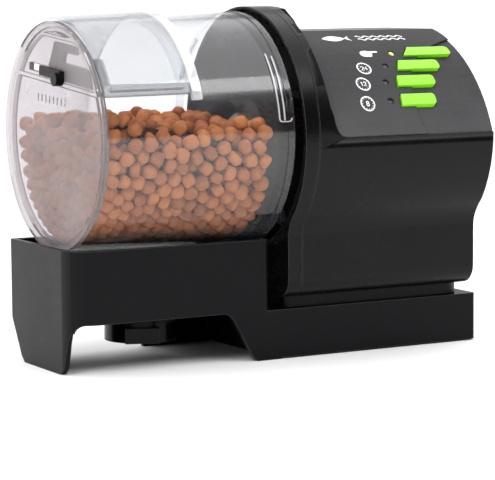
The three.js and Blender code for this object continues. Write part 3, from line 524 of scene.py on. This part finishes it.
# ------------------------------------------------------------------ camera, floor and light
def camera():
    """The photograph's viewpoint. Yaw is from +Y towards +X, pitch is downwards, in radians."""
    yaw, pitch, roll = CAMERA_YAW, CAMERA_PITCH, CAMERA_ROLL
    forward = Vector((math.sin(yaw) * math.cos(pitch), math.cos(yaw) * math.cos(pitch), -math.sin(pitch)))
    level = Vector((math.cos(yaw), -math.sin(yaw), 0))
    upright = level.cross(forward)
    right = math.cos(roll) * level + math.sin(roll) * upright
    up = -math.sin(roll) * level + math.cos(roll) * upright
    turn = Matrix((right, up, -forward)).transposed().to_4x4()
    data = bpy.data.cameras.new("camera")
    data.lens, data.sensor_width = CAMERA_LENS, CAMERA_SENSOR
    data.clip_start, data.clip_end = 0.01, 100
    obj = bpy.data.objects.new("camera", data)
    obj.matrix_world = Matrix.Translation(CAMERA_PLACE) @ turn
    bpy.context.scene.collection.objects.link(obj)
    bpy.context.scene.camera = obj


def lamp(name, where, target, size, power):
    """A white area lamp that faces its target."""
    data = bpy.data.lights.new(name, "AREA")
    data.shape, data.size, data.size_y = "RECTANGLE", *size
    data.energy = power
    obj = bpy.data.objects.new(name, data)
    obj.location = where
    obj.rotation_euler = (Vector(target) - Vector(where)).to_track_quat("-Z", "Y").to_euler()
    bpy.context.scene.collection.objects.link(obj)


def room():
    """The world: a bright ceiling, a white backdrop behind the object and a dim room in front of it."""
    world = bpy.data.worlds.new("studio")
    bpy.context.scene.world = world
    world.use_nodes = True
    tree = world.node_tree
    where = tree.nodes.new("ShaderNodeSeparateXYZ")
    tree.links.new(tree.nodes.new("ShaderNodeTexCoord").outputs["Generated"], where.inputs[0])

    def step(axis, start, end, low, high):
        node = tree.nodes.new("ShaderNodeMapRange")
        node.interpolation_type = "SMOOTHSTEP"
        tree.links.new(where.outputs[axis], node.inputs["Value"])
        for key, value in zip(("From Min", "From Max", "To Min", "To Max"), (start, end, low, high)):
            node.inputs[key].default_value = value
        return node.outputs["Result"]

    def combine(kind, a, b):
        node = tree.nodes.new("ShaderNodeMath")
        node.operation = kind
        tree.links.new(a, node.inputs[0])
        tree.links.new(b, node.inputs[1])
        return node.outputs[0]

    ceiling = step("Z", CEILING[0], CEILING[1], 0.0, CEILING[2])
    backdrop = combine("MULTIPLY", step("Y", -0.35, 0.3, 0.1, 1.0), step("Z", 0.15, 0.6, 1.0, 0.15))
    side = combine("MULTIPLY", step("X", -0.95, -0.45, 0.5, 0.0), step("Z", 0.2, 0.7, 1.0, 0.0))
    total = combine("ADD", combine("ADD", ceiling, backdrop), side)
    tree.links.new(total, tree.nodes["Background"].inputs["Strength"])
    tree.nodes["Background"].inputs["Color"].default_value = (1, 1, 1, 1)


def studio():
    """The floor, the world and two soft lamps."""
    mesh = bpy.data.meshes.new("floor")
    bm = bmesh.new()
    bmesh.ops.create_grid(bm, x_segments=8, y_segments=8, size=30)
    bm.to_mesh(mesh)
    bm.free()
    n = Nodes("floor")
    base = n.mix(n.span(n.noise(3, 3), 0, 1), (0.9, 0.9, 0.9, 1), (0.93, 0.93, 0.93, 1))
    mesh.materials.append(
        n.finish(n.shader("ShaderNodeBsdfPrincipled", Base_Color=base, Roughness=0.7))
    )
    floor = bpy.data.objects.new("floor", mesh)
    floor.location.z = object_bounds()[0].z
    bpy.context.scene.collection.objects.link(floor)
    floor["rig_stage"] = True
    room()
    lamp("front_soft", (0.40, -0.85, 0.90), (0.02, 0, 0.06), (0.8, 0.3), 3)
    lamp("key", (-0.85, -0.55, 0.85), (-0.02, 0, 0.06), (0.5, 0.5), 4.5)
    bpy.context.scene.view_settings.view_transform = "Standard"


camera()
studio()

# ------------------------------------------------------------------ case, base and buttons
for node, finish in {
    "base_shell": "base_plastic",
    "drop_spout": "spout_plastic",
    "support_neck": "neck_plastic",
    "front_bezel": "bezel_plastic",
    "housing_shell": "case_plastic",
    "control_panel": "panel_plastic",
    "battery_door": "case_plastic",
    "drum_shell": "clear_plastic",
    "fill_door": "clear_door",
    "drum_end_cap": "milky_plastic",
    "portion_gate": "grey_plastic",
    "portion_knob": "black_plastic",
    "feed_button": "button_plastic",
    "interval_24h_button": "button_plastic",
    "interval_12h_button": "button_plastic",
    "interval_8h_button": "button_plastic",
    "feed_lamp": "lamp_on",
    "interval_24h_lamp": "lamp_off",
    "interval_12h_lamp": "lamp_off",
    "interval_8h_lamp": "lamp_off",
}.items():
    reskin(node, finish)


# ------------------------------------------------------------------ food
PELLET = 2.4                          # the radius of the ball that a pellet keeps clear for itself
PELLET_SIDES = 12
PELLET_PROFILE = [(0.95, -1.62), (1.80, -1.42), (2.26, -0.80), (2.26, 0.80), (1.80, 1.42), (0.95, 1.62)]
BED_LEFT, BED_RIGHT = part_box("food_fill")[0].x / MM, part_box("food_fill")[1].x / MM + 0.2
BED_HIGH, BED_MIDDLE, BED_FALL = 7.6, -33.5, 0.15     # its height at its middle x, and its fall along X
BED_TILT = math.tan(math.radians(6.5))


def bed_top(x, y):
    """The height of the bed's surface over the drum's axis. It falls to the right and to the back."""
    return BED_HIGH - (x - BED_MIDDLE) * BED_FALL - y * BED_TILT


def settled(rng, count=1540):
    """Centres of balls that fill the bed, settled by pushing overlaps apart, without the unseen middle."""
    tries, reach, start_top, start_radius = count * 3, 33, 4, 31
    steps, fast_steps, fast_fall, slow_fall = 70, 45, 0.12, 0.02
    spot = np.column_stack(
        [
            rng.uniform(BED_LEFT, BED_RIGHT, tries),
            rng.uniform(-reach, reach, tries),
            rng.uniform(-reach, start_top, tries),
        ]
    )
    inside = np.hypot(spot[:, 1], spot[:, 2]) < start_radius
    spot = spot[inside][:count]
    for step in range(steps):
        gap = spot[:, None, :] - spot[None, :, :]
        far = np.sqrt((gap**2).sum(-1)) + np.eye(len(spot)) * 99
        push = np.clip(2 * PELLET - far, 0, None) / far * 0.5
        spot = spot + (gap * push[:, :, None]).sum(1) * 0.6
        spot[:, 2] -= fast_fall if step < fast_steps else slow_fall
        wall = drum_radius(spot[:, 0]) - DRUM_WALL - PELLET
        over = np.maximum(np.hypot(spot[:, 1], spot[:, 2]) / wall, 1)
        spot[:, 1] /= over
        spot[:, 2] /= over
        spot[:, 0] = np.clip(spot[:, 0], BED_LEFT + PELLET, BED_RIGHT - PELLET)
        spot[:, 2] = np.minimum(spot[:, 2], bed_top(spot[:, 0], spot[:, 1]) + PELLET * 0.4)
    wall = drum_radius(spot[:, 0]) - DRUM_WALL - PELLET
    from_wall, from_left, from_right, from_top = 9, 11, 8, 10
    deep = (
        (wall - np.hypot(spot[:, 1], spot[:, 2]) > from_wall)
        & (spot[:, 0] > BED_LEFT + from_left)
        & (spot[:, 0] < BED_RIGHT - from_right)
        & (bed_top(spot[:, 0], spot[:, 1]) - spot[:, 2] > from_top)
    )
    return spot[~deep]


def pellets():
    """The bed of pellets, each a short cylinder with rounded ends, of its own size, turn and shade."""
    rng = np.random.default_rng(7)
    sides, profile = PELLET_SIDES, PELLET_PROFILE
    verts, faces, shade = [], [], []
    for i, centre in enumerate(settled(rng)):
        axis = Vector(rng.normal(size=3)).normalized()
        turn = axis.to_track_quat("Z", "Y").to_matrix()
        size = rng.uniform(0.88, 1.02)
        long = rng.uniform(0.95, 1.25)
        start = len(verts)
        for r, h in profile:
            for k in range(sides):
                a = 2 * math.pi * k / sides
                wobble = 1 + 0.05 * math.sin(a * 2 + i) + 0.03 * math.sin(3 * a + 2 * i)
                reach = r * size * wobble
                local = Vector((reach * math.cos(a), reach * math.sin(a), h * long))
                verts.append(turn @ local + Vector(centre) + Vector((0, 0, AXIS_Z / MM)))
        for ring in range(len(profile) - 1):
            for k in range(sides):
                a, b = start + ring * sides + k, start + ring * sides + (k + 1) % sides
                faces.append((a, b, b + sides, a + sides))
        last = start + (len(profile) - 1) * sides
        faces.append(tuple(start + k for k in reversed(range(sides))))
        faces.append(tuple(last + k for k in range(sides)))
        shade += [rng.uniform(0, 1)] * (sides * len(profile))
    mesh = mesh_from("pellets", verts, faces, Matrix.Scale(MM, 4), 60)
    mesh.attributes.new("shade", "FLOAT", "POINT").data.foreach_set("value", shade)
    piece("food_pellets", mesh, "root", "food_pellets", ("food_fill",))


def painted_shade_core(rows=12, around=40, under_wall=5.2, under_top=9.5, ends=3.4):
    """A dark core painted in as the shade deep inside the bed, which shows only as the dark between the
    pellets.
    """
    verts, faces = [], []
    for x in np.linspace(BED_LEFT + ends, BED_RIGHT - ends, rows):
        r = drum_radius(x) - DRUM_WALL - under_wall
        for k in range(around):
            y, z = r * math.cos(2 * math.pi * k / around), r * math.sin(2 * math.pi * k / around)
            verts.append((x, y, min(z, bed_top(x, y) - under_top) + AXIS_Z / MM))
    for i in range(rows - 1):
        for k in range(around):
            a, b = i * around + k, i * around + (k + 1) % around
            faces.append((a, b, b + around, a + around))
    faces += [tuple(range(around)), tuple(reversed(range((rows - 1) * around, rows * around)))]
    mesh = mesh_from("food_painted_shade_core", verts, faces, Matrix.Scale(MM, 4))
    piece("food_painted_shade_core", mesh, "root", "food_dark")


pellets()
painted_shade_core()


# ------------------------------------------------------------------ marks on the panel
def arc_points(cx, cy, r, start, end, count=14, squash=1.0):
    """Points on an arc, from start to end in degrees. squash scales its height."""
    return [
        (cx + r * math.cos(math.radians(t)), cy + squash * r * math.sin(math.radians(t)))
        for t in np.linspace(start, end, count)
    ]


# each digit's strokes in a cell one unit high
DIGITS = {
    "1": [[(-0.12, 0.30), (0.08, 0.42), (0.08, -0.42)]],
    "2": [arc_points(0, 0.18, 0.24, 160, -30) + [(-0.24, -0.42), (0.27, -0.42)]],
    "4": [[(0.14, -0.42), (0.14, 0.42), (-0.26, -0.14), (0.3, -0.14)]],
    "8": [arc_points(0, 0.2, 0.21, 90, 450, 16), arc_points(0, -0.2, 0.24, 90, 450, 16)],
}


INK_LOW, INK_HIGH = 0.01, 0.04        # the ink's two faces over the panel


def printed(name, parts):
    """Ink on the panel: flat strips a hair above its cylinder. A part is (points, width, closed)."""
    lift = lambda x, v, h: on_panel(x, v, INK_LOW + h)
    strips = [raised_strip(points, width, 0.03, lift, closed) for points, width, closed in parts]
    piece(name, mesh_from(name, *merged(strips), PANEL, 30), "root", INK)


def clock(name, cx, cy, text):
    """A small clock mark: a ring, twelve ticks and the hours between feeds."""
    ring, near, far, height, pitch = 2.28, 1.66, 1.98, 1.75, 1.16
    parts = [(arc_points(cx, cy, ring, 0, 348, 30), 0.42, True)]
    for i in range(12):
        a = math.radians(30 * i)
        tick = [(cx + r * math.cos(a), cy + r * math.sin(a)) for r in (near, far)]
        parts.append((tick, 0.2, False))
    for i, digit in enumerate(text):
        shift = (i - (len(text) - 1) / 2) * pitch
        for stroke in DIGITS[digit]:
            parts.append(([(cx + shift + height * x, cy + height * y) for x, y in stroke], 0.3, False))
    printed(name, parts)


def filled(name, outline):
    """A flat printed shape from a closed outline."""
    bm = bmesh.new()
    top = [bm.verts.new(PANEL @ Vector(on_panel(x, v, INK_HIGH))) for x, v in outline]
    low = [bm.verts.new(PANEL @ Vector(on_panel(x, v, INK_LOW))) for x, v in outline]
    bm.faces.new(top)
    bm.faces.new(low[::-1])
    for i in range(len(top)):
        j = (i + 1) % len(top)
        bm.faces.new((top[i], low[i], low[j], top[j]))
    bmesh.ops.recalc_face_normals(bm, faces=bm.faces)
    bmesh.ops.triangulate(bm, faces=[f for f in bm.faces if len(f.verts) > 4])
    mesh = bpy.data.meshes.new(name)
    bm.to_mesh(mesh)
    bm.free()
    piece(name, smooth(mesh, 30), "root", INK)


clock("mark_24h", 27.1, -0.25, "24")
clock("mark_12h", 24.1, -6.5, "12")
clock("mark_8h", 23.1, -13.4, "8")
filled(
    "mark_hand",
    [(35.6, 7.0), (35.6, 7.6), (35.3, 7.75), (32.6, 7.7), (31.4, 8.1), (29.9, 7.9), (29.1, 7.1), (29.0, 6.0),
     (29.6, 5.2), (31.0, 4.95), (32.6, 5.0), (32.9, 5.5), (33.1, 5.9), (33.3, 6.4), (33.4, 6.95)],
)

FISH_NOSE, FISH_BODY, FISH_HIGH, FISH_V = 20.4, 8.2, 1.75, 15.8
fish = []
for side in (1, -1):
    back = [
        (x, FISH_V + side * FISH_HIGH * math.sin(math.pi * (x - FISH_NOSE) / FISH_BODY) ** 0.8)
        for x in np.linspace(FISH_NOSE + 0.05, FISH_NOSE + 8.1, 12)
    ]
    fish += back[::side]
    if side == 1:
        fish += [(30.4, FISH_V + 1.7), (29.9, FISH_V), (30.4, FISH_V - 1.7)]
filled("mark_fish", fish)
waves = []
for v in (14.9, 16.8):
    line = [(x, v + 0.45 * math.sin(2.1 * (x - 33))) for x in np.linspace(33.2, 50.2, 70)]
    waves.append((line, 0.55, False))
printed("mark_waves", waves)


# ------------------------------------------------------------------ lines moulded in the drum and its cap
def drum_u_rib(width=0.32, height=0.35, sunk=0.05):
    """A thin U-shaped rib on the drum's outside, with a second line in it, as (x, angle in degrees)."""
    left, middle, right = -8.9, -7.2, -4.9
    top, low = 43.4, 76.4
    outer = [(left, a) for a in np.linspace(top, low, 20)]
    for t in np.linspace(0.2, math.pi / 2, 5):
        outer.append((left + 1 - math.cos(t), low + 1.6 * math.sin(t)))
    for t in np.linspace(0.1, math.pi / 2, 5):
        outer.append((right - 1 + math.sin(t), low + 1.6 * math.cos(t)))
    inner = [(middle, a) for a in np.linspace(top + 1.6, low + 1, 20)]
    lift = lambda x, s, h: on_drum(x, s / DEGREE, h - sunk)
    lines = [[(x, a * DEGREE) for x, a in line] for line in (outer, inner)]
    strips = [raised_strip(line, width, height, lift) for line in lines]
    mesh = mesh_from("drum_u_rib", *merged(strips), DRUM, 30)
    piece("drum_u_rib", mesh, "drum", "clear_rib")


def cap_marks(height=0.16, width=0.22, arm=0.8):
    """Two raised ovals on the cap's face, in the drum's frame: one with a dash and one with a cross."""
    lift = lambda y, z, h: (DRUM_LEFT - h + 0.02, y, z)
    (dash_y, dash_z), (cross_y, cross_z) = (18.5, 12.6), (-10.4, 12.8)
    strokes = [
        (arc_points(y, z, 1.7, 0, 345, 24, 1.15), True)
        for y, z in ((dash_y, dash_z), (cross_y, cross_z))
    ]
    for y, z in ((dash_y, dash_z), (cross_y, cross_z)):
        strokes.append(([(y - arm, z), (y + arm, z)], False))
    strokes.append(([(cross_y, cross_z - arm), (cross_y, cross_z + arm)], False))
    strips = [raised_strip(points, width, height, lift, closed) for points, closed in strokes]
    mesh = mesh_from("cap_marks", *merged(strips), DRUM, 30)
    piece("cap_marks", mesh, "drum", "clear_rib")


drum_u_rib()
cap_marks()

# ------------------------------------------------------------------ finishes on the hidden nodes
for name, obj in frame["nodes"].items():
    obj.material_slots[0].link = "OBJECT"
    obj.material_slots[0].material = FINISH["dark_steel" if "case_screw" in name else NODE_SLOT[name]]
